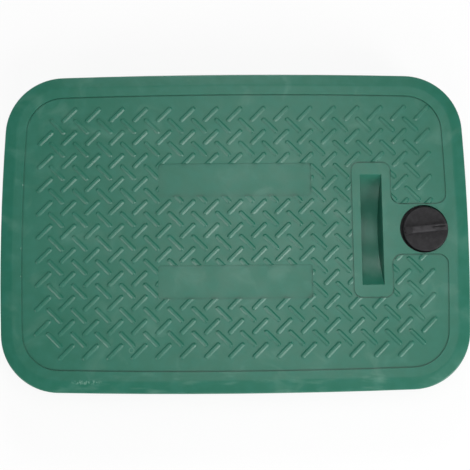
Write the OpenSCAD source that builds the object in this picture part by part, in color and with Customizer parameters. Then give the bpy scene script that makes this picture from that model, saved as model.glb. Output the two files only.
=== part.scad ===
// Lid of a rectangular valve box, with a tread field, a finger pocket and a quarter turn lock.
// The origin is the middle of the lid at the bottom of its ribs, X runs along the length, Z is up.

/* [Lid] */
// Length over the rim
lid_l = 430; // [420:1:440]
// Width over the rim
lid_w = 296; // [290:1:304]
// Height from the bottom of the ribs to the smooth band
lid_h = 44; // [40:1:50]
// Radius of the rim's corners, seen from above
corner_r = 54; // [50:1:58]
// Radius of the long sides, which bow outwards a little
side_r = 5700; // [4500:100:9000]
// Radius of the ends, which bow outwards a little
end_r = 2070; // [1600:10:4000]
// Width of the outer part of the band, which slopes down to the edge
slope_w = 10.5; // [8:0.5:12]
// Drop of that slope
slope_drop = 1.4; // [0.6:0.1:2]
// Radius of the edge between the slope and the skirt
edge_r = 1.5; // [1:0.1:1.8]
// Depth of the skirt that hangs over the rim of the box
skirt_h = 22; // [18:1:26]
// How far the skirt draws in from its upper to its lower edge
skirt_draw = 0.6; // [0:0.1:1]
// Thickness of the skirt and of the inner frame
wall_t = 4; // [3:0.5:5]
// Thickness of the top plate under the band
plate_t = 4.5; // [4:0.5:6]

/* [Underside] */
// Width of the channel that takes the rim of the box, at the middle of each side
channel_w = 11; // [10.5:0.5:11.5]
// Thickness of the ribs
rib_t = 3; // [2:0.5:4]
// Distance from rib to rib along the length
rib_pitch_x = 38.5; // [38:0.25:38.75]
// Distance from rib to rib across the width
rib_pitch_y = 37; // [36:0.5:38]
// Width of each hook tab at the end away from the lock
hook_w = 26; // [20:1:34]
// Reach of each hook tab past the frame
hook_reach = 7; // [5:0.5:8]
// Distance of each hook tab from the middle
hook_y = 70; // [50:1:90]

/* [Tread field] */
// Width of the smooth band round the field
band_w = 19.6; // [19:0.1:20.5]
// Depth of the field below the band
field_d = 0.8; // [0.5:0.1:1.2]
// Width of the groove that runs round the field
groove_w = 1; // [0.6:0.1:1.4]
// Depth of that groove below the field
groove_d = 0.5; // [0.3:0.1:0.8]
// Distance from mark to mark, both ways
tread_pitch = 21.9; // [21.5:0.1:22]
// Length of a tread mark at its foot
mark_l = 20.2; // [18:0.1:20.4]
// Width of a tread mark at its foot
mark_w = 4.6; // [4:0.1:4.8]
// Height of a tread mark above the field
mark_h = 1.2; // [0.8:0.1:1.6]
// Run of a tread mark's sloped sides
mark_run = 1.4; // [1:0.1:1.6]

/* [Panels] */
// Length of each smooth panel
panel_l = 141; // [130:1:148]
// Width of each smooth panel
panel_w = 31; // [28:0.5:34]
// Distance of each panel's middle from the lid's long axis
panel_y = 47.3; // [45:0.1:50]
// Depth of each panel below the field
panel_d = 0.7; // [0.4:0.1:1]
// Corner radius of each panel
panel_r = 3; // [1:0.5:5]

/* [Finger pocket] */
// Distance of the pocket from the middle of the lid
pocket_x = 125.7; // [125:0.1:126.5]
// Length of the pocket's mouth
pocket_l = 102.3; // [96:0.1:106]
// Width of the pocket's mouth
pocket_w = 20.1; // [18:0.1:21]
// Depth of the scoop at its middle
pocket_d = 24; // [18:0.5:28]
// How far each long wall of the pocket draws in at that depth
pocket_draw = 1; // [0:0.1:1.5]
// Thickness of the scoop's wall
cup_t = 3; // [2.5:0.5:4]
// Length of the smooth surround
surround_l = 124.2; // [120:0.1:128]
// Width of the smooth surround
surround_w = 35.1; // [34:0.1:37]
// Corner radius of the surround
surround_r = 7; // [4:0.5:9]

/* [Lock] */
// Distance of the lock's axis from the middle of the lid
lock_x = 173.6; // [173:0.1:174.2]
// Half the width of the smooth lock panel
lock_panel_h = 23; // [22.8:0.1:23.6]
// Radius where the lock panel's edge turns into the band and the surround
lock_panel_r = 9.5; // [6:0.5:11]
// Diameter of the cap
cap_d = 41; // [40:0.1:41.4]
// Height of the cap's face above the band
cap_h = 2; // [0.5:0.1:3]
// Radius of the cap's upper edge
cap_edge_r = 1.2; // [0.8:0.1:2]
// Gap round the cap in its seat
cap_gap = 1.7; // [1.4:0.1:1.8]
// Depth of the cap's seat in the lock panel
seat_d = 5.5; // [4:0.1:6]
// Thickness of the wall and floor round the cap's seat
seat_t = 3; // [2:0.1:3]
// Width of the grip rib across the cap
grip_w = 6; // [5:0.5:9]
// Height of the grip rib above the cap's face
grip_h = 4; // [3:0.1:5]
// Distance of the ramp at the grip rib's far end from the middle of the cap
ramp_x = 13; // [10:0.5:16]
// Length of the sight slot in the grip rib's near end
slot_l = 12; // [8:0.5:14]
// Width and depth of that slot
slot_w = 1.2; // [0.8:0.1:1.6]
// Angle of the lock in the resting pose, counted from its locked stop
rest_angle = 5; // [0:1:45]
// Diameter of the stem below the cap
stem_d = 16; // [14:1:18]
// Running clearance of the stem in its bore, on the radius
stem_clear = 0.05; // [0.02:0.01:0.1]
// Diameter of the boss round the stem
boss_d = 26; // [24:1:28]
// Height of the boss's lower face above the bottom of the ribs
boss_z = 15; // [14:0.5:17]
// Width over the flats of the square that drives the latch blade
drive_w = 10; // [8:0.5:11]
// Thickness of the latch blade
blade_t = 4; // [3:0.5:5]
// Width of the latch blade's arm
blade_w = 16; // [14:1:18]
// Reach of the latch blade from the lock's axis
blade_reach = 32.5; // [31:0.5:32.5]
// Diameter of the latch blade's hub
hub_d = 23; // [20:1:24]
// Diameter of the washer
washer_d = 15; // [14:0.5:18]
// Thickness of the washer
washer_t = 1.2; // [1:0.1:1.6]
// Diameter of the screw's shank
screw_d = 4.2; // [4:0.1:5]
// Diameter of the screw's head
screw_head_d = 9; // [8:0.5:10]
// Height of the screw's head
screw_head_h = 2.6; // [2:0.1:3.2]
// Length of the screw's shank below its head
screw_l = 16; // [12:1:20]

/* [Hidden] */
// Clearance left between pieces that pass each other
pass_gap = 0.3;
// Clearance round the square drive and the screw, each side
fit_gap = 0.05;
// Overlap that lets a cut run past a face
past = 1;
// Steps of the rim round a corner, along a side and over its edge
corner_steps = 20;
side_steps = 8;
edge_steps = 4;
// Angles of the four corners of a mark's rounded end
end_angles = [-90, -30, 30, 90];
half_l = lid_l / 2;
half_w = lid_w / 2;
field_z = lid_h - field_d;
plate_z = lid_h - plate_t;
// Centres of the arcs that bound the lid, seen from above: a long side, an end and a corner
side_c = half_w - side_r;
end_c = half_l - end_r;
side_in = side_r - corner_r;
end_in = end_r - corner_r;
centres = norm([end_c, side_c]);
along = (pow(side_in, 2) - pow(end_in, 2) + pow(centres, 2)) / (2 * centres);
across = sqrt(pow(side_in, 2) - pow(along, 2));
corner_x = (along * end_c - across * side_c) / centres;
corner_y = side_c - (along * side_c + across * end_c) / centres;
// Half the angle that a long side and an end turn through, and the angle of a corner
side_half = asin(corner_x / side_in);
end_half = asin(corner_y / end_in);
corner_turn = 90 - side_half - end_half;
// The inner frame, which stands inside the rim of the box
frame_in = wall_t + channel_w;
frame_l = lid_l - 2 * frame_in;
frame_w = lid_w - 2 * frame_in;
frame_r = corner_r - frame_in;
bay_l = frame_l - 2 * wall_t;
bay_w = frame_w - 2 * wall_t;
bay_r = frame_r - wall_t;
// Tread marks to each side of the middle
tread_cols = 8;
tread_rows = 5;
// How far a mark reaches from its middle along X or Y
mark_span = (mark_l - mark_w) / 2 * cos(45) + mark_w / 2;
// The scoop's floor is an arc over the mouth's length
scoop_r = (pow(pocket_l / 2, 2) + pow(pocket_d, 2)) / (2 * pocket_d);
scoop_z = lid_h + scoop_r - pocket_d;
// The open bay round the latch, and the window in the frame that the blade swings out of
lock_bay_x = 4 * rib_pitch_x + rib_t / 2;
lock_bay_low = -rib_pitch_y / 2 + rib_t / 2;
lock_bay_high = blade_reach + 3;
window_low = -blade_w / 2 - pass_gap;
window_high = sqrt(pow(blade_reach, 2) + pow(blade_w / 2, 2) - pow(bay_l / 2 - lock_x, 2)) + 2;
shallow_z = boss_z + 4;
// The lock, from the cap's face down
cap_z = lid_h + cap_h;
cap_foot_z = lid_h - seat_d + pass_gap;
stem_z = boss_z - pass_gap;
blade_z = stem_z - blade_t;
drive_z = blade_z + pass_gap;
washer_z = blade_z - washer_t;
screw_z = washer_z - screw_head_h;

$fn = 64;

// A rectangle with rounded corners
module round_rect(l, w, r) {
    union() {
        square([l - 2 * r, w], center = true);
        square([l, w - 2 * r], center = true);
        for (sx = [-1, 1])
            for (sy = [-1, 1])
                translate([sx * (l / 2 - r), sy * (w / 2 - r)])
                    circle(r);
    }
}

// Points along an arc, without its last one
function arc_points(x, y, r, from, to, steps) = [
    for (i = [0:steps - 1])
        let (a = from + (to - from) * i / steps)
            [x + r * cos(a), y + r * sin(a)]
];

// One half of the rim's outline, drawn in all round by the given inset: an end, a corner, a
// long side and the next corner
function half_points(inset) = concat(
    arc_points(end_c, 0, end_r - inset, -end_half, end_half, side_steps),
    arc_points(corner_x, corner_y, corner_r - inset, end_half, 90 - side_half, corner_steps),
    arc_points(0, side_c, side_r - inset, 90 - side_half, 90 + side_half, side_steps),
    arc_points(-corner_x, corner_y, corner_r - inset, 90 + side_half, 180 - end_half, corner_steps)
);

// The whole outline, whose other half is the same turned by half a turn
function rim_points(inset) = [
    for (half = [1, -1])
        for (p = half_points(inset))
            half * p
];

// Section of the rim, from the foot of its wall up over the rounded edge and the slope: the
// inset and the height of each line round it
function rim_section(low) =
    let (slope = atan(slope_drop / slope_w))
        let (edge_z = lid_h - slope_drop - edge_r * cos(slope))
            concat(
                [[skirt_draw, low]],
                [
                    for (i = [0:edge_steps])
                        let (a = (90 - slope) * i / edge_steps)
                            [edge_r * (1 - cos(a)), edge_z + edge_r * sin(a)]
                ],
                [[slope_w, lid_h]]
            );

// The rim as a solid block, one ring of points for each line of its section
module rim_block(low) {
    section = rim_section(low);
    rings = len(section);
    n = 4 * (corner_steps + side_steps);
    polyhedron(
        points = [for (line = section) for (p = rim_points(line[0])) [p[0], p[1], line[1]]],
        faces = concat(
            [[for (i = [0:n - 1]) i]],
            [[for (i = [n - 1:-1:0]) (rings - 1) * n + i]],
            [
                for (k = [0:rings - 2])
                    for (i = [0:n - 1])
                        [k * n + i, (k + 1) * n + i, (k + 1) * n + (i + 1) % n, k * n + (i + 1) % n]
            ]
        )
    );
}

// Skirt and top plate
module rim_shell() {
    skirt_z = lid_h - skirt_h;
    difference() {
        rim_block(skirt_z);
        translate([0, 0, skirt_z - past])
            linear_extrude(plate_z - skirt_z + past)
                polygon(rim_points(wall_t));
    }
}

// Rib grid seen from below, inside the frame
module rib_grid() {
    intersection() {
        round_rect(bay_l + 2 * past, bay_w + 2 * past, bay_r + past);
        union() {
            for (i = [-4:4])
                translate([i * rib_pitch_x, 0])
                    square([rib_t, bay_w + 2 * past], center = true);
            for (j = [-2.5:2.5])
                translate([0, j * rib_pitch_y])
                    square([bay_l + 2 * past, rib_t], center = true);
        }
    }
}

// The open bay round the latch, seen from below
module lock_bay() {
    translate([lock_bay_x, lock_bay_low])
        square([bay_l / 2 - lock_bay_x, lock_bay_high - lock_bay_low]);
}

// Frame, ribs, and the wall that closes the bay round the latch
module underside() {
    linear_extrude(plate_z + past)
        union() {
            difference() {
                round_rect(frame_l, frame_w, frame_r);
                round_rect(bay_l, bay_w, bay_r);
            }
            difference() {
                rib_grid();
                lock_bay();
            }
            translate([lock_bay_x - past, lock_bay_high])
                square([bay_l / 2 - lock_bay_x + 2 * past, rib_t]);
            // Stop for the blade in its open position
            translate([lock_x - blade_w / 2 - pass_gap - rib_t, hub_d / 2 + 3])
                square([rib_t, lock_bay_high - hub_d / 2 - 3 + past]);
        }
    translate([0, 0, shallow_z])
        linear_extrude(plate_z + past - shallow_z)
            intersection() {
                translate([lock_bay_x - past, lock_bay_low - past])
                    square([bay_l / 2 - lock_bay_x + 2 * past, lock_bay_high - lock_bay_low]);
                for (y = [0, rib_pitch_y / 2])
                    translate([0, y])
                        square([bay_l + 2 * past, rib_t], center = true);
            }
}

// Two tabs that hook under the ledge of the box
module hook_tabs() {
    root = -frame_l / 2 + past;
    tip = -frame_l / 2 - hook_reach;
    for (side = [-1, 1])
        translate([0, side * hook_y, 0])
            rotate([90, 0, 0])
                linear_extrude(hook_w, center = true)
                    polygon([[root, 3], [tip, 9], [tip, 13], [root, 14]]);
}

// Outline of what stands proud of the field, the surround and the lock panel, grown all round
module raised_plan(grow) {
    surround_edge = pocket_x + surround_w / 2 + grow;
    panel_edge = lock_panel_h + grow;
    panel_end = end_c + sqrt(pow(end_r - band_w - grow, 2) - pow(panel_edge, 2));
    union() {
        translate([pocket_x, 0])
            round_rect(surround_w + 2 * grow, surround_l + 2 * grow, surround_r + grow);
        translate([surround_edge - past - grow, -panel_edge])
            square([panel_end - surround_edge + 3 * past + 2 * grow, 2 * panel_edge]);
        for (side = [-1, 1]) {
            corner_fill(surround_edge, side * panel_edge, 1, side, lock_panel_r - grow);
            corner_fill(panel_end, side * panel_edge, -1, side, lock_panel_r - grow);
        }
    }
}

// Fills the inner corner between two edges with a rounded one, and reaches in under both
module corner_fill(x, y, to_x, to_y, r) {
    translate([x, y])
        difference() {
            translate([to_x * (r - past) / 2, to_y * (r - past) / 2])
                square(r + past, center = true);
            translate([to_x * r, to_y * r])
                circle(r);
        }
}

// Outline of the field, drawn in all round by the given inset
module field_plan(inset) {
    difference() {
        polygon(rim_points(band_w + inset));
        raised_plan(inset);
    }
}

// The field's hollow in the top plate, with the groove round it
module field_cut() {
    translate([0, 0, field_z])
        linear_extrude(field_d + past)
            field_plan(0);
    translate([0, 0, field_z - groove_d])
        linear_extrude(groove_d + past / 2)
            difference() {
                field_plan(0);
                field_plan(groove_w);
            }
}

// The two smooth panels, cut into the field
module panel_cuts() {
    for (side = [-1, 1])
        translate([0, side * panel_y, field_z - panel_d])
            linear_extrude(panel_d + mark_h + past)
                round_rect(panel_l, panel_w, panel_r);
}

// Outline of a mark that lies along X, a list of corners at one height
function mark_ring(l, w, z) = [
    for (side = [0, 1])
        for (a = end_angles)
            let (turn = a + 180 * side)
                [(1 - 2 * side) * (l - w) / 2 + w / 2 * cos(turn), w / 2 * sin(turn), z]
];

// One tread mark: a low bar with sloped sides and rounded ends
module mark() {
    foot = mark_ring(mark_l, mark_w, 0);
    crown = mark_ring(mark_l - 2 * mark_run, mark_w - 2 * mark_run, mark_h);
    n = len(foot);
    polyhedron(
        points = concat(foot, crown),
        faces = concat(
            [[for (i = [0:n - 1]) i]],
            [[for (i = [n - 1:-1:0]) n + i]],
            [for (i = [0:n - 1]) [i, n + i, n + (i + 1) % n, (i + 1) % n]]
        )
    );
}

// True where a mark would lie wholly inside a panel
function in_panel(x, y) =
    abs(x) < panel_l / 2 - mark_span && abs(abs(y) - panel_y) < panel_w / 2 - mark_span;

// True where a mark would lie wholly inside the surround or the lock panel
function in_raised(x, y) =
    (abs(x - pocket_x) < surround_w / 2 - mark_span && abs(y) < surround_l / 2 - mark_span)
    || (x > pocket_x && abs(y) < lock_panel_h - mark_span);

// True at the three corners of the field that have no mark
function bare_corner(i, j) =
    abs(i) == tread_cols && abs(j) == tread_rows && !(i > 0 && j > 0);

// Marks of one direction, on a square grid
module mark_grid(cols, rows, turn) {
    for (i = [-cols:cols])
        for (j = [-rows:rows]) {
            x = i * tread_pitch;
            y = j * tread_pitch;
            if (!in_panel(x, y) && !in_raised(x, y) && !bare_corner(i, j))
                translate([x, y, field_z])
                    rotate([0, 0, turn])
                        mark();
        }
}

// The whole tread pattern, cut off at the borders of the panels and of what stands proud
module tread() {
    difference() {
        union() {
            mark_grid(tread_cols, tread_rows, 45);
            mark_grid(tread_cols - 0.5, tread_rows - 0.5, -45);
        }
        translate([0, 0, field_z - past])
            linear_extrude(mark_h + 2 * past)
                raised_plan(groove_w);
        panel_cuts();
    }
}

// Length of the scoop in side view, an arc below the mouth, across the given width
module scoop(r, w) {
    rotate([90, 0, 90])
        linear_extrude(w, center = true)
            translate([0, scoop_z])
                circle(r);
}

// Outside of the pocket, a thin wall round the scoop
module pocket_cup() {
    translate([pocket_x, 0, 0])
        intersection() {
            scoop(scoop_r + cup_t, pocket_w + 2 * cup_t);
            translate([0, 0, plate_z / 2 + past])
                cube([lid_w, lid_w, plate_z], center = true);
        }
}

// The space for the fingers, with long walls that draw in towards the floor
module pocket_space() {
    draw = pocket_draw / pocket_d;
    top = pocket_w / 2 + past * draw;
    low = pocket_w / 2 - pocket_draw;
    translate([pocket_x, 0, 0])
        intersection() {
            scoop(scoop_r, pocket_w + 2 * past);
            rotate([90, 0, 0])
                linear_extrude(pocket_l, center = true)
                    polygon([
                        [-top, lid_h + past], [-low, lid_h - pocket_d],
                        [low, lid_h - pocket_d], [top, lid_h + past]
                    ]);
        }
}

// Cup under the cap's seat and the boss below it
module lock_boss() {
    cup_z = lid_h - seat_d - seat_t;
    translate([lock_x, 0, 0]) {
        translate([0, 0, cup_z])
            cylinder(h = plate_z + past - cup_z, d = cap_d + 2 * (cap_gap + seat_t) - pass_gap);
        translate([0, 0, boss_z])
            cylinder(h = plate_z - boss_z, d = boss_d);
    }
}

// Seat for the cap, bore for the stem, and the window for the blade
module lock_cuts() {
    translate([lock_x, 0, 0]) {
        translate([0, 0, lid_h - seat_d])
            cylinder(h = seat_d + past, d = cap_d + 2 * cap_gap);
        cylinder(h = lid_h, d = stem_d + 2 * stem_clear);
    }
    translate([bay_l / 2 - past, window_low, -past])
        cube([wall_t + 2 * past, window_high - window_low, boss_z + 3 + past]);
}

// One green moulding
module lid() {
    color("seagreen")
        difference() {
            union() {
                difference() {
                    rim_shell();
                    field_cut();
                }
                underside();
                hook_tabs();
                pocket_cup();
                lock_boss();
                tread();
            }
            panel_cuts();
            pocket_space();
            lock_cuts();
        }
}

// Puts a piece of the lock at its axis and turns it to the resting pose
module at_lock() {
    translate([lock_x, 0, 0])
        rotate([0, 0, rest_angle])
            children();
}

// Black cap with its grip rib, stem and square drive in one moulding
module lock_cap() {
    color("dimgray")
        at_lock()
            difference() {
                union() {
                    cap_body();
                    grip_rib();
                    translate([-drive_w / 2, -drive_w / 2, drive_z])
                        cube([drive_w, drive_w, stem_z + past - drive_z]);
                }
                cylinder(h = screw_z + screw_head_h + screw_l + 2, d = screw_d + 2 * fit_gap);
                cap_marks();
            }
}

// The turned part of the cap: a disc with a rounded edge, and the stem under it
module cap_body() {
    rotate_extrude()
        union() {
            translate([0, stem_z])
                square([stem_d / 2, cap_foot_z - stem_z]);
            translate([0, cap_foot_z])
                square([cap_d / 2, cap_z - cap_edge_r - cap_foot_z]);
            translate([0, cap_z - cap_edge_r])
                square([cap_d / 2 - cap_edge_r, cap_edge_r]);
            translate([cap_d / 2 - cap_edge_r, cap_z - cap_edge_r])
                circle(cap_edge_r);
        }
}

// The grip rib, which ramps down to the cap's face at the end away from the sight slot
module grip_rib() {
    top_z = cap_z + grip_h;
    difference() {
        intersection() {
            rotate([90, 0, 90])
                linear_extrude(cap_d, center = true)
                    grip_section();
            translate([0, 0, cap_z - cap_edge_r])
                cylinder(h = grip_h + 2 * cap_edge_r, d = cap_d - 2 * cap_edge_r);
        }
        rotate([90, 0, 0])
            linear_extrude(grip_w + 2 * past, center = true)
                polygon([
                    [-ramp_x, top_z], [-cap_d / 2, cap_z], [-cap_d / 2, top_z + past], [-ramp_x, top_z + past]
                ]);
    }
}

// Sight slot in the rib, and the two small notches at its ramp's foot
module cap_marks() {
    notch_l = 2.2;
    notch_d = 0.8;
    notch_y = 1.6;
    slot_end = cap_d / 2 - cap_edge_r - 2;
    translate([slot_end - slot_l, 0, cap_z + grip_h - slot_w])
        cube([slot_l, slot_w, slot_w + past]);
    for (side = [-1, 1])
        translate([-cap_d / 2 + cap_edge_r, side * notch_y, cap_z])
            cube([notch_l, slot_w, 2 * notch_d], center = true);
}

// Section of the grip rib, wider at its foot and rounded on top
module grip_section() {
    edge_r = 1.2;
    foot = grip_w / 2 + 0.4;
    union() {
        polygon([
            [-foot, cap_z - cap_edge_r], [foot, cap_z - cap_edge_r], [foot, cap_z],
            [grip_w / 2, cap_z + grip_h - edge_r], [-grip_w / 2, cap_z + grip_h - edge_r], [-foot, cap_z]
        ]);
        translate([0, cap_z + grip_h - edge_r / 2])
            square([grip_w - 2 * edge_r, edge_r], center = true);
        for (side = [-1, 1])
            translate([side * (grip_w / 2 - edge_r), cap_z + grip_h - edge_r])
                circle(edge_r);
    }
}

// Steel cam that turns under the ledge of the box
module latch_blade() {
    tip_r = 3;
    color("silver")
        at_lock()
            translate([0, 0, blade_z])
                linear_extrude(blade_t)
                    difference() {
                        union() {
                            circle(d = hub_d);
                            translate([0, -blade_w / 2])
                                square([blade_reach - tip_r, blade_w]);
                            translate([0, -blade_w / 2 + tip_r])
                                square([blade_reach, blade_w - 2 * tip_r]);
                            for (side = [-1, 1])
                                translate([blade_reach - tip_r, side * (blade_w / 2 - tip_r)])
                                    circle(tip_r);
                        }
                        square(drive_w + 2 * fit_gap, center = true);
                    }
}

// Washer that holds the blade on its square
module latch_washer() {
    color("gainsboro")
        at_lock()
            translate([0, 0, washer_z])
                difference() {
                    cylinder(h = washer_t, d = washer_d);
                    translate([0, 0, -past])
                        cylinder(h = washer_t + 2 * past, d = screw_d + 2 * fit_gap);
                }
}

// Self-tapping screw with a domed head and a cross recess
module latch_screw() {
    recess_l = 5;
    recess_w = 1.1;
    color("slategray")
        at_lock()
            difference() {
                union() {
                    intersection() {
                        translate([0, 0, screw_z])
                            cylinder(h = screw_head_h, d = screw_head_d);
                        translate([0, 0, screw_z + screw_head_d])
                            sphere(screw_head_d);
                    }
                    translate([0, 0, screw_z + screw_head_h - past])
                        cylinder(h = screw_l + past, d = screw_d);
                }
                for (turn = [0, 90])
                    rotate([0, 0, turn])
                        translate([-recess_l / 2, -recess_w / 2, screw_z - past])
                            cube([recess_l, recess_w, 1.4 + past]);
            }
}

lid();
lock_cap();
latch_blade();
latch_washer();
latch_screw();
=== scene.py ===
from math import radians

import bmesh
import bpy
from mathutils import Matrix, Vector


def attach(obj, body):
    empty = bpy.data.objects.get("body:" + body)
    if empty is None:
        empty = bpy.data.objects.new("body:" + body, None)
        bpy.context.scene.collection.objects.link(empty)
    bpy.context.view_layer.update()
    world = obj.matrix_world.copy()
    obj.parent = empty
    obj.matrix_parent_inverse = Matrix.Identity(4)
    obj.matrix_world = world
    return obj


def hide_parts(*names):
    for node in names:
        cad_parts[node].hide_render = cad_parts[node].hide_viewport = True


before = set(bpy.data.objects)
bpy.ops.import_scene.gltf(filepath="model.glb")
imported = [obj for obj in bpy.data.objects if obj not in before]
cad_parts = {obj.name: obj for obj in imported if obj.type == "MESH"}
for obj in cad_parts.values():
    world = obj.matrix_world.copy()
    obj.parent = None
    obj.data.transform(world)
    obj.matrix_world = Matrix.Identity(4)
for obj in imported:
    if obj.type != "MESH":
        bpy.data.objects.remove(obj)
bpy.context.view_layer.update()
scene = bpy.context.scene

# The view. The photograph looks nearly straight down on the lid, from a little towards its
# front and left, about 0.86 m up. Place, turn and lens come from a fit of a pinhole camera to
# the square grid of the tread marks and to the lid's outline.
view_place = (-0.00881, -0.11048, 0.86201)
view_turn = (radians(7.394), radians(-0.527), radians(-0.551))
view_lens = 68.94
view_sensor = 36.0
camera_data = bpy.data.cameras.new("view")
camera_data.sensor_width = view_sensor
camera_data.lens = view_lens
camera_data.clip_start = 0.05
camera = bpy.data.objects.new("view", camera_data)
camera.location = view_place
camera.rotation_euler = view_turn
scene.collection.objects.link(camera)
scene.camera = camera


# The lid. One moulding in green polypropylene: rim, tread plate, finger pocket and ribs come out
# of the mould together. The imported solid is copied, the bend between the flat band and its
# slope gets a broad round, and every sharp edge the small one that a mould's cutter leaves.
weld_distance = 1e-6
flat_angle = radians(0.2)
sharp_angle = radians(24)
bend_angles = (radians(3), radians(15))
bend_height = 0.044
bend_slack = 2e-5
bend_round = 0.0012
bend_steps = 3
lid_edge_round = 0.00035
edge_steps = 2


def copy_solid(node):
    """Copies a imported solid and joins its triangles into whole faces."""
    shape = bmesh.new()
    shape.from_mesh(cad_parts[node].data)
    bmesh.ops.remove_doubles(shape, verts=shape.verts, dist=weld_distance)
    bmesh.ops.dissolve_limit(
        shape, angle_limit=flat_angle, verts=shape.verts, edges=shape.edges
    )
    return shape


def bends(shape, low, high=radians(180)):
    """The edges of a shape whose two faces meet at an angle between the two given."""
    return [
        edge
        for edge in shape.edges
        if len(edge.link_faces) == 2 and low < edge.calc_face_angle(0) < high
    ]


def round_edges(shape, edges, size, steps=edge_steps):
    """Gives the edges of a shape a round of the given size."""
    bmesh.ops.bevel(
        shape,
        geom=edges,
        offset=size,
        offset_type="OFFSET",
        segments=steps,
        profile=0.5,
        affect="EDGES",
        material=-1,
        clamp_overlap=True,
    )


def finish_mesh(shape, name, material, node, body):
    """Makes a piece of a shape, smooth over its small rounds and flat between them."""
    mesh = bpy.data.meshes.new(name)
    shape.to_mesh(mesh)
    shape.free()
    mesh.shade_smooth()
    mesh.materials.append(material)
    piece = bpy.data.objects.new(name, mesh)
    scene.collection.objects.link(piece)
    weight = piece.modifiers.new("even shading", "WEIGHTED_NORMAL")
    weight.keep_sharp = True
    weight.weight = 100
    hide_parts(node)
    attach(piece, body)


lid_shape = copy_solid("lid")
bend_edges = [
    edge
    for edge in bends(lid_shape, *bend_angles)
    if all(abs(vert.co.z - bend_height) < bend_slack for vert in edge.verts)
]
round_edges(lid_shape, bend_edges, bend_round, bend_steps)
round_edges(lid_shape, bends(lid_shape, sharp_angle), lid_edge_round)

# The finish of the lid: injection-moulded polypropylene, satin, in two close greens that flow
# into each other, with a finer mottle. Over them lie handling smudges, a scuff on the front
# band and a small ring, and a painted highlight, broken into pale specks, along the left edge of
# the field.
green_tones = ("#1a644f", "#206c58")
green_tone_size = 70
mottle_tone = "#297564"
smudge_tone = "#8fb5a6"
# The pale tone of the painted highlight along the left edge of the field
edge_highlight_tone = "#93b3a5"
streak_stretch = (0.25, 1.0, 1.0)
front_band = (-0.134, -0.124)
# Where the painted highlight along the field's left edge stops towards the corners
left_edge_ends = (0.075, 0.088)
scuff_middle = (-0.1345, -0.1365)
scuff_squeeze = 6.0
scuff_reach = (0.006, 0.017)
thin_line = (0.0002, 0.0006)
polypropylene_ior = 1.49


def srgb(text):
    """A colour written as sRGB hex, turned to the linear values that the shader takes."""
    parts = [int(text[i : i + 2], 16) / 255 for i in (1, 3, 5)]
    return [p / 12.92 if p <= 0.04045 else ((p + 0.055) / 1.055) ** 2.4 for p in parts] + [1]


def new_material(name):
    """An empty node material."""
    material = bpy.data.materials.new(name)
    material.use_nodes = True
    material.node_tree.nodes.clear()
    return material


def add_node(material, kind, settings=None, links=None):
    """Adds one shader node with its settings, and links (output socket) to its inputs."""
    tree = material.node_tree
    node = tree.nodes.new(kind)
    for key, value in (settings or {}).items():
        if isinstance(key, int) or key in node.inputs:
            node.inputs[key].default_value = value
        else:
            setattr(node, key, value)
    for key, socket in (links or {}).items():
        tree.links.new(socket, node.inputs[key])
    return node


green = new_material("moulded_green_polypropylene")
place = add_node(green, "ShaderNodeTexCoord").outputs["Object"]
across = add_node(green, "ShaderNodeSeparateXYZ", None, {0: place}).outputs["Y"]
off_middle_line = add_node(
    green, "ShaderNodeMath", {"operation": "ABSOLUTE"}, {0: across}
).outputs[0]
streaks = add_node(
    green, "ShaderNodeMapping", {"Scale": streak_stretch}, {"Vector": place}
).outputs[0]
scuff_place = add_node(
    green,
    "ShaderNodeMapping",
    {
        "Location": (-scuff_middle[0], -scuff_squeeze * scuff_middle[1], 0.0),
        "Scale": (1.0, scuff_squeeze, 0.0),
    },
    {"Vector": place},
).outputs[0]
off_scuff = add_node(
    green, "ShaderNodeVectorMath", {"operation": "LENGTH"}, {0: scuff_place}
).outputs["Value"]

# Cloudy patterns: the size of their spots in mm, their detail and distortion, the marks of the
# noise between which they fade, and the values that they fade between
pattern = {}
for name, where, size, detail, distortion, marks, values in (
    ("mottle", place, 9, 3.0, 0.0, (0.35, 0.75), (0.0, 0.35)),
    ("smudge", place, 26, 3.0, 0.8, (0.52, 0.78), (0.0, 0.10)),
    ("wipe", streaks, 7, 3.0, 0.0, (0.55, 0.8), (0.0, 0.17)),
    # This noise breaks the painted highlight along the field's left edge into specks
    ("highlight_breaks", place, 6, 1.0, 0.0, (0.62, 0.70), (0.0, 1.0)),
    ("flecks", place, 1.8, 2.0, 0.0, (0.45, 0.62), (0.0, 0.4)),
    ("roughness", place, 18, 4.0, 0.0, (0.3, 0.7), (0.33, 0.41)),
):
    cloud = add_node(
        green,
        "ShaderNodeTexNoise",
        {"Scale": 1000 / size, "Detail": detail, "Distortion": distortion},
        {"Vector": where},
    ).outputs["Fac"]
    pattern[name] = add_node(
        green,
        "ShaderNodeMapRange",
        {
            "interpolation_type": "SMOOTHSTEP",
            "From Min": marks[0],
            "From Max": marks[1],
            "To Min": values[0],
            "To Max": values[1],
        },
        {"Value": cloud},
    ).outputs["Result"]

# Thin circles: the boundary of the field at the left, which is an arc of 2 m radius, and the ring
off_circle = {}
for name, middle, radius in (
    ("left_edge", (1.855, 0.0, 0.0435), 2.0508),
    ("ring", (-0.0945, -0.1085, 0.0432), 0.0022),
):
    reach = add_node(
        green, "ShaderNodeVectorMath", {"operation": "DISTANCE", 1: middle}, {0: place}
    ).outputs["Value"]
    past_circle = add_node(
        green, "ShaderNodeMath", {"operation": "SUBTRACT", 1: radius}, {0: reach}
    ).outputs[0]
    off_circle[name] = add_node(
        green, "ShaderNodeMath", {"operation": "ABSOLUTE"}, {0: past_circle}
    ).outputs[0]

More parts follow.
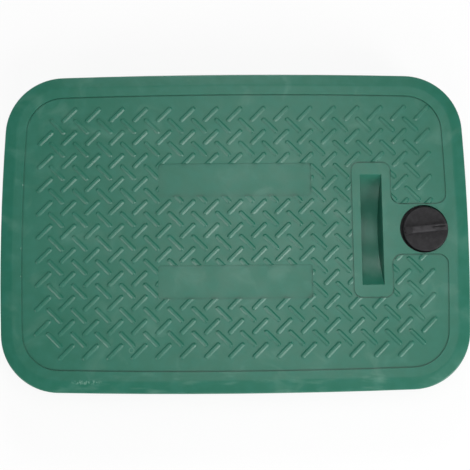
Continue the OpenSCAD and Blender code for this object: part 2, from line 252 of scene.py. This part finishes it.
# Places: full strength up to the first distance, none beyond the second
for name, distance, ends, strength in (
    ("front", across, front_band, 1.0),
    ("between_corners", off_middle_line, left_edge_ends, 1.0),
    ("scuff_place", off_scuff, scuff_reach, 1.0),
    # The thin line along the field's left edge that carries the painted highlight
    ("left_edge", off_circle["left_edge"], thin_line, 0.8),
    ("ring", off_circle["ring"], thin_line, 0.18),
):
    pattern[name] = add_node(
        green,
        "ShaderNodeMapRange",
        {
            "interpolation_type": "SMOOTHSTEP",
            "From Min": ends[0],
            "From Max": ends[1],
            "To Min": strength,
            "To Max": 0.0,
        },
        {"Value": distance},
    ).outputs["Result"]

# Two patterns multiplied or added make a new one, and the later rows use the earlier ones
for name, operation, first, second in (
    ("wipe", "MULTIPLY", "wipe", "front"),
    ("smudge", "ADD", "smudge", "wipe"),
    # The painted highlight along the field's left edge, broken into specks and kept between the
    # corners
    ("painted_edge_highlight", "MULTIPLY", "left_edge", "highlight_breaks"),
    ("painted_edge_highlight", "MULTIPLY", "painted_edge_highlight", "between_corners"),
    ("scuff", "MULTIPLY", "scuff_place", "flecks"),
    ("scuff", "ADD", "scuff", "ring"),
):
    pattern[name] = add_node(
        green, "ShaderNodeMath", {"operation": operation}, {0: pattern[first], 1: pattern[second]}
    ).outputs[0]

# The colours, laid over each other. Of a Mix node set to colour, input 0 is the share, 6 and 7
# are the colours under and over, and output 2 is the result.
tone_cloud = add_node(
    green,
    "ShaderNodeTexNoise",
    {"Scale": 1000 / green_tone_size, "Detail": 4.0},
    {"Vector": place},
).outputs["Fac"]
colour = add_node(
    green,
    "ShaderNodeMix",
    {"data_type": "RGBA", 6: srgb(green_tones[0]), 7: srgb(green_tones[1])},
    {0: tone_cloud},
).outputs[2]
for name, tone in (
    ("mottle", mottle_tone),
    ("smudge", smudge_tone),
    # The painted highlight along the left edge of the field
    ("painted_edge_highlight", edge_highlight_tone),
    ("scuff", smudge_tone),
):
    colour = add_node(
        green, "ShaderNodeMix", {"data_type": "RGBA", 7: srgb(tone)}, {0: pattern[name], 6: colour}
    ).outputs[2]

# The relief: a fine grain, drawn coarser than the real one so that it shows, and the slight
# waviness of a moulded plate, each by its size in mm, its strength and its depth in metres
relief = {}
for size, strength, depth in ((1.1, 0.3, 0.0001), (34, 0.35, 0.0006)):
    height = add_node(
        green, "ShaderNodeTexNoise", {"Scale": 1000 / size, "Detail": 2.0}, {"Vector": place}
    ).outputs["Fac"]
    bump = add_node(
        green,
        "ShaderNodeBump",
        {"Strength": strength, "Distance": depth},
        {"Height": height, **relief},
    )
    relief = {"Normal": bump.outputs["Normal"]}
skin = add_node(
    green,
    "ShaderNodeBsdfPrincipled",
    {"IOR": polypropylene_ior},
    {"Base Color": colour, "Roughness": pattern["roughness"], **relief},
)
add_node(green, "ShaderNodeOutputMaterial", None, {"Surface": skin.outputs["BSDF"]})
finish_mesh(lid_shape, "lid_moulding", green, "lid", "lid")


# The lock cap. A black nylon moulding with a grip across it, turned by hand. Its disc sits a
# little off the middle of its seat, as in the photograph, so that the gap is wide at the left,
# and a thin flange below it fills the floor of the seat.
cap_edge_round = 0.0003
cap_foot = 0.0386
cap_slack = 0.0003
cap_middle = Vector((0.1736, 0.0, 0.0))
stem_reach = 0.009
off_middle = (0.0012, -0.0004, 0.0)
flange_radius = 0.0219
flange_thick = 0.0008
flange_height = 0.0391
flange_sides = 96
cap_shape = copy_solid("lock_cap")
disc = [
    vert
    for vert in cap_shape.verts
    if vert.co.z > cap_foot + cap_slack
    or (vert.co.z > cap_foot - cap_slack and (vert.co.xy - cap_middle.xy).length > stem_reach)
]
bmesh.ops.translate(cap_shape, verts=disc, vec=off_middle)
bmesh.ops.create_cone(
    cap_shape,
    cap_ends=True,
    segments=flange_sides,
    radius1=flange_radius,
    radius2=flange_radius,
    depth=flange_thick,
    matrix=Matrix.Translation(cap_middle + Vector((0.0, 0.0, flange_height))),
)
round_edges(cap_shape, bends(cap_shape, sharp_angle), cap_edge_round)

# The finish of the cap: moulded nylon, nearly black and matt, in two close tones with a fine
# speckle. The top of the grip, between the two heights given, is rubbed a little paler by hands.
black_tones = ("#0c0a0e", "#131115")
speckle_tone = "#242127"
rub_tone = "#6c6a6e"
grip_heights = (0.0465, 0.0498)
nylon_ior = 1.53
black = new_material("moulded_black_nylon")
place = add_node(black, "ShaderNodeTexCoord").outputs["Object"]
height = add_node(black, "ShaderNodeSeparateXYZ", None, {0: place}).outputs["Z"]

# Noise, by the size of its spots in mm and its detail. The grain is drawn coarser than the real
# one, at 0.9 mm, so that it shows.
clouds = {}
for name, size, detail in (
    ("tone", 12, 4.0),
    ("speckle", 1.6, 3.0),
    ("patchy", 6, 3.0),
    ("roughness", 4, 2.0),
    ("grain", 0.9, 2.0),
):
    clouds[name] = add_node(
        black, "ShaderNodeTexNoise", {"Scale": 1000 / size, "Detail": detail}, {"Vector": place}
    ).outputs["Fac"]

# Between its two marks, each source goes over smoothly from the first value to the second
pattern = {}
for name, source, marks, values in (
    ("speckle", clouds["speckle"], (0.5, 0.75), (0.0, 0.5)),
    ("patchy", clouds["patchy"], (0.3, 0.65), (0.0, 1.0)),
    ("grip_top", height, grip_heights, (0.0, 0.16)),
    ("roughness", clouds["roughness"], (0.3, 0.7), (0.64, 0.78)),
):
    pattern[name] = add_node(
        black,
        "ShaderNodeMapRange",
        {
            "interpolation_type": "SMOOTHSTEP",
            "From Min": marks[0],
            "From Max": marks[1],
            "To Min": values[0],
            "To Max": values[1],
        },
        {"Value": source},
    ).outputs["Result"]
pattern["rub"] = add_node(
    black,
    "ShaderNodeMath",
    {"operation": "MULTIPLY"},
    {0: pattern["grip_top"], 1: pattern["patchy"]},
).outputs[0]
colour = add_node(
    black,
    "ShaderNodeMix",
    {"data_type": "RGBA", 6: srgb(black_tones[0]), 7: srgb(black_tones[1])},
    {0: clouds["tone"]},
).outputs[2]
for name, tone in (("speckle", speckle_tone), ("rub", rub_tone)):
    colour = add_node(
        black, "ShaderNodeMix", {"data_type": "RGBA", 7: srgb(tone)}, {0: pattern[name], 6: colour}
    ).outputs[2]
bump = add_node(
    black, "ShaderNodeBump", {"Strength": 0.5, "Distance": 0.00015}, {"Height": clouds["grain"]}
).outputs["Normal"]
skin = add_node(
    black,
    "ShaderNodeBsdfPrincipled",
    {"IOR": nylon_ior},
    {"Base Color": colour, "Roughness": pattern["roughness"], "Normal": bump},
)
add_node(black, "ShaderNodeOutputMaterial", None, {"Surface": skin.outputs["BSDF"]})
finish_mesh(cap_shape, "lock_cap_moulding", black, "lock_cap", "lock")


# The latch under the cap: a stamped steel blade on the stem's square, held by a washer and a
# screw. All three are zinc plated, with the cloudy grey of a barrel-plated finish and fine
# tumbling scratches, which are drawn 0.5 mm apart so that they show.
zinc_tones = ("#b9bab6", "#cfd0cb")
zinc_stain = "#9fa3a2"
scratch_turn = 0.6
scratch_stretch = (0.12, 1.0, 1.0)
steel = new_material("zinc_plated_steel")
place = add_node(steel, "ShaderNodeTexCoord").outputs["Object"]
scratch_place = add_node(
    steel,
    "ShaderNodeMapping",
    {"Rotation": (0.0, 0.0, scratch_turn), "Scale": scratch_stretch},
    {"Vector": place},
).outputs[0]
clouds = {}
for name, where, size, detail in (
    ("spangle", place, 6, 4.0),
    ("stain", place, 1.4, 3.0),
    ("scratch", scratch_place, 0.5, 3.0),
):
    clouds[name] = add_node(
        steel, "ShaderNodeTexNoise", {"Scale": 1000 / size, "Detail": detail}, {"Vector": where}
    ).outputs["Fac"]
pattern = {}
for name, source, marks, values in (
    ("tone", clouds["spangle"], (0.3, 0.7), (0.0, 1.0)),
    ("roughness", clouds["spangle"], (0.3, 0.7), (0.28, 0.42)),
    ("stain", clouds["stain"], (0.58, 0.75), (0.0, 0.5)),
):
    pattern[name] = add_node(
        steel,
        "ShaderNodeMapRange",
        {
            "interpolation_type": "SMOOTHSTEP",
            "From Min": marks[0],
            "From Max": marks[1],
            "To Min": values[0],
            "To Max": values[1],
        },
        {"Value": source},
    ).outputs["Result"]
colour = add_node(
    steel,
    "ShaderNodeMix",
    {"data_type": "RGBA", 6: srgb(zinc_tones[0]), 7: srgb(zinc_tones[1])},
    {0: pattern["tone"]},
).outputs[2]
colour = add_node(
    steel,
    "ShaderNodeMix",
    {"data_type": "RGBA", 7: srgb(zinc_stain)},
    {0: pattern["stain"], 6: colour},
).outputs[2]
bump = add_node(
    steel, "ShaderNodeBump", {"Strength": 0.25, "Distance": 0.00005}, {"Height": clouds["scratch"]}
).outputs["Normal"]
skin = add_node(
    steel,
    "ShaderNodeBsdfPrincipled",
    {"Metallic": 1.0},
    {"Base Color": colour, "Roughness": pattern["roughness"], "Normal": bump},
)
add_node(steel, "ShaderNodeOutputMaterial", None, {"Surface": skin.outputs["BSDF"]})
for node, edge_round in (
    ("latch_blade", 0.0004),
    ("latch_washer", 0.0002),
    ("latch_screw", 0.00015),
):
    piece_shape = copy_solid(node)
    round_edges(piece_shape, bends(piece_shape, sharp_angle), edge_round)
    finish_mesh(piece_shape, node + "_plated", steel, node, "lock")


# The floor. A round sheet of white paper whose rim turns up like a studio sweep. It shows as
# white to the camera and in reflections, and keeps a share of the lid's shadow.
floor_radius = 4.0
floor_rim = 0.5
floor_sides = 96
floor_shadow = 0.15
paper_tones = ("#f6f6f6", "#fcfcfc")
paper_tone_size = 60
floor_shape = bmesh.new()
bmesh.ops.create_circle(floor_shape, cap_ends=True, segments=floor_sides, radius=floor_radius)
rim = bmesh.ops.extrude_edge_only(
    floor_shape, edges=[edge for edge in floor_shape.edges if edge.is_boundary]
)
rim_points = [part for part in rim["geom"] if isinstance(part, bmesh.types.BMVert)]
bmesh.ops.translate(floor_shape, verts=rim_points, vec=(0.0, 0.0, floor_rim))
bmesh.ops.recalc_face_normals(floor_shape, faces=floor_shape.faces)
floor_mesh = bpy.data.meshes.new("floor")
floor_shape.to_mesh(floor_mesh)
floor_shape.free()
floor = bpy.data.objects.new("floor", floor_mesh)
scene.collection.objects.link(floor)

paper = new_material("white_paper")
place = add_node(paper, "ShaderNodeTexCoord").outputs["Object"]
tone_cloud = add_node(
    paper,
    "ShaderNodeTexNoise",
    {"Scale": 1000 / paper_tone_size, "Detail": 2.0},
    {"Vector": place},
).outputs["Fac"]
colour = add_node(
    paper,
    "ShaderNodeMix",
    {"data_type": "RGBA", 6: srgb(paper_tones[0]), 7: srgb(paper_tones[1])},
    {0: tone_cloud},
).outputs[2]
sheet = add_node(paper, "ShaderNodeBsdfDiffuse", None, {"Color": colour}).outputs["BSDF"]
glow = add_node(paper, "ShaderNodeEmission", {"Strength": 1.0}).outputs["Emission"]
rays = add_node(paper, "ShaderNodeLightPath").outputs
seen = rays["Is Camera Ray"]
for ray in ("Is Glossy Ray", "Is Transmission Ray"):
    seen = add_node(
        paper, "ShaderNodeMath", {"operation": "MAXIMUM"}, {0: seen, 1: rays[ray]}
    ).outputs[0]
white_share = add_node(
    paper, "ShaderNodeMath", {"operation": "MULTIPLY", 1: 1 - floor_shadow}, {0: seen}
).outputs[0]
lit = add_node(
    paper, "ShaderNodeMixShader", None, {0: white_share, 1: sheet, 2: glow}
).outputs[0]
add_node(paper, "ShaderNodeOutputMaterial", None, {"Surface": lit})
floor_mesh.materials.append(paper)


# The light. An even white surround, one broad soft box overhead, two that fill from back and
# front, and three to the front, right and left, two of them low, so that they rake the marks as
# in the photograph. Each lamp has its place and width in metres and its power in watts.
surround_strength = 0.23
world = bpy.data.worlds.new("studio")
world.use_nodes = True
surround = world.node_tree.nodes["Background"].inputs
surround["Color"].default_value = (1, 1, 1, 1)
surround["Strength"].default_value = surround_strength
scene.world = world
for name, lamp_place, width, power in (
    ("overhead", (0.14, 0.15, 1.5), 0.8, 6.0),
    ("back", (0.0, 1.2, 0.8), 0.4, 6.8),
    ("front", (0.0, -1.2, 0.8), 0.4, 4.0),
    ("front_right", (0.9, -0.7, 0.8), 0.4, 4.6),
    ("low_right", (1.1, -0.9, 0.36), 0.5, 7.6),
    ("low_left", (-1.1, -0.9, 0.36), 0.5, 5.0),
):
    lamp_data = bpy.data.lights.new(name, "AREA")
    lamp_data.size = width
    lamp_data.energy = power
    lamp = bpy.data.objects.new(name, lamp_data)
    lamp.location = lamp_place
    lamp.rotation_euler = (-Vector(lamp_place)).to_track_quat("-Z", "Y").to_euler()
    scene.collection.objects.link(lamp)

scene.view_settings.view_transform = "Standard"
